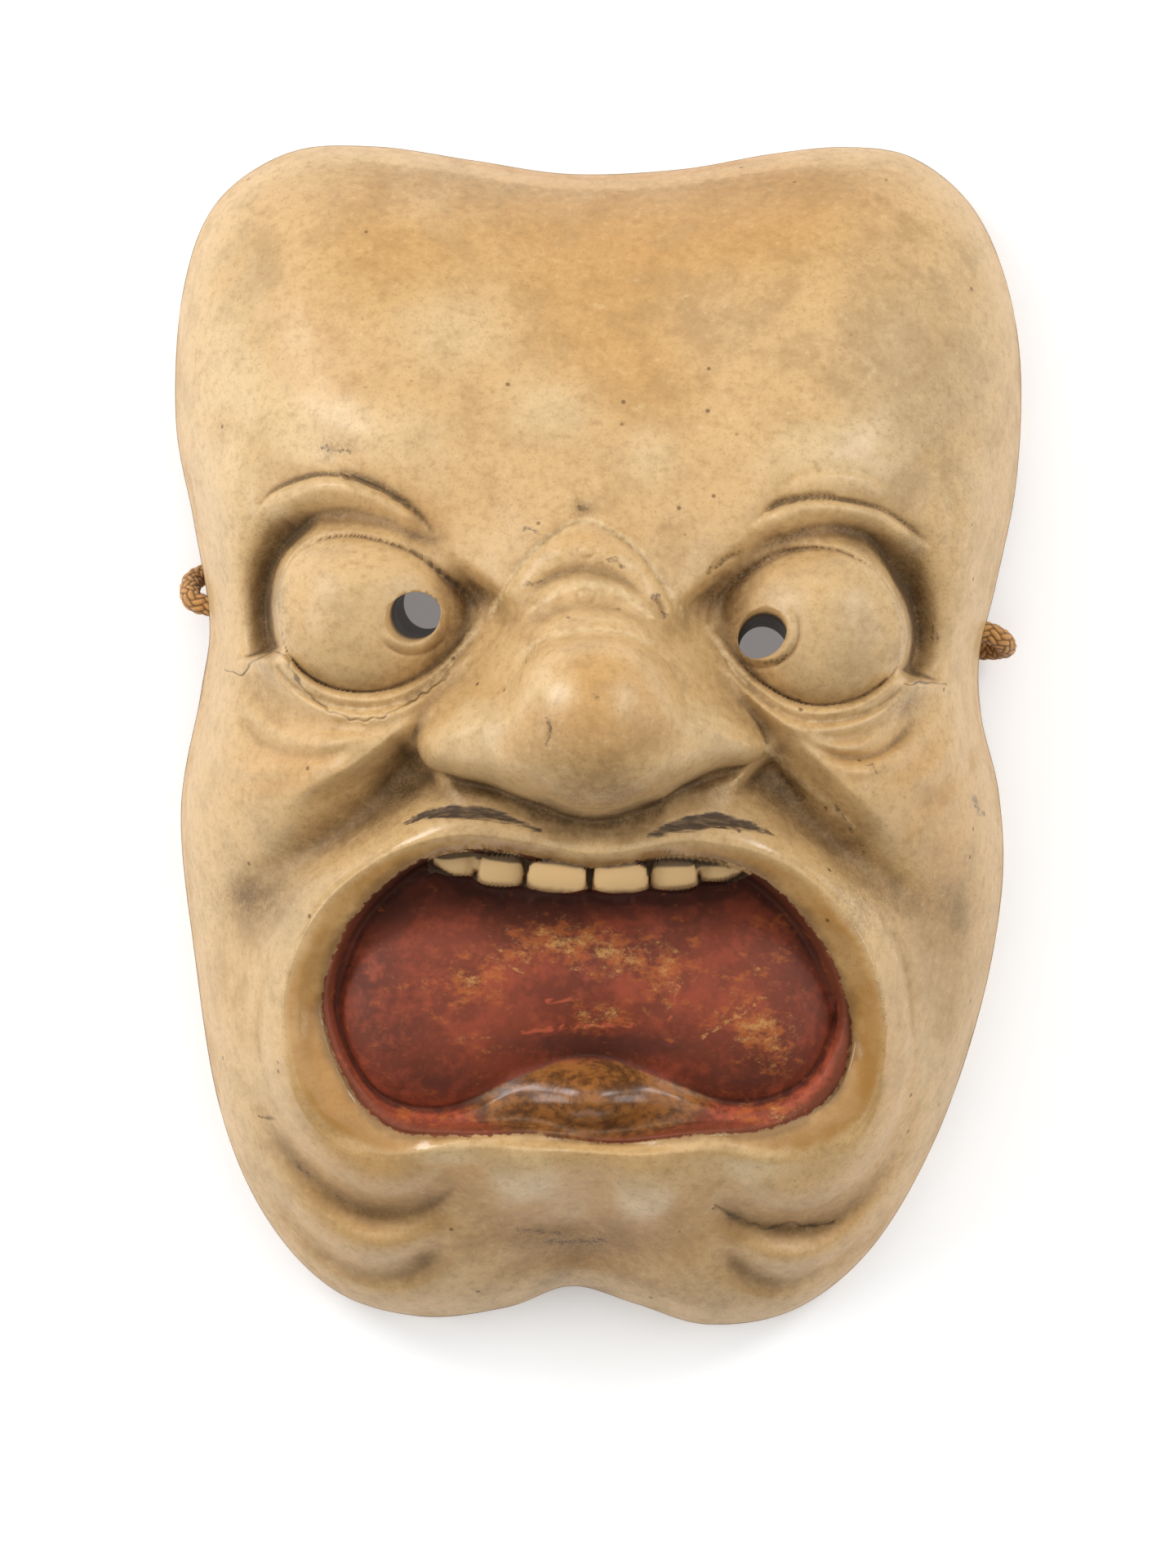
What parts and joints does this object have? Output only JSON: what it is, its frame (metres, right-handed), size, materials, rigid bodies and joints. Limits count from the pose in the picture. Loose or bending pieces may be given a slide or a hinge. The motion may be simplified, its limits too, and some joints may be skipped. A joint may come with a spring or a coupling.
{
  "type": "carved wooden theatre mask",
  "caption": "Carved and painted wooden theatre mask with bulging eyes, a round nose, a wide open mouth and a braided head cord, lying face up.",
  "frame": {"origin": "middle of the plane that the rim lies on, under the middle of the mask", "axes": "+Z out of the face, +Y towards the forehead, +X to the right of someone who looks at the face"},
  "size_m": [0.1472, 0.205, 0.0895],
  "materials": {
    "painted_wood": "satin gesso paint, worn",
    "braided_cord": "flat braid"
  },
  "bodies": {
    "root": {"mask": "painted_wood", "cord": "braided_cord", "knot_left": "braided_cord", "knot_right": "braided_cord"}
  },
  "joints": []
}
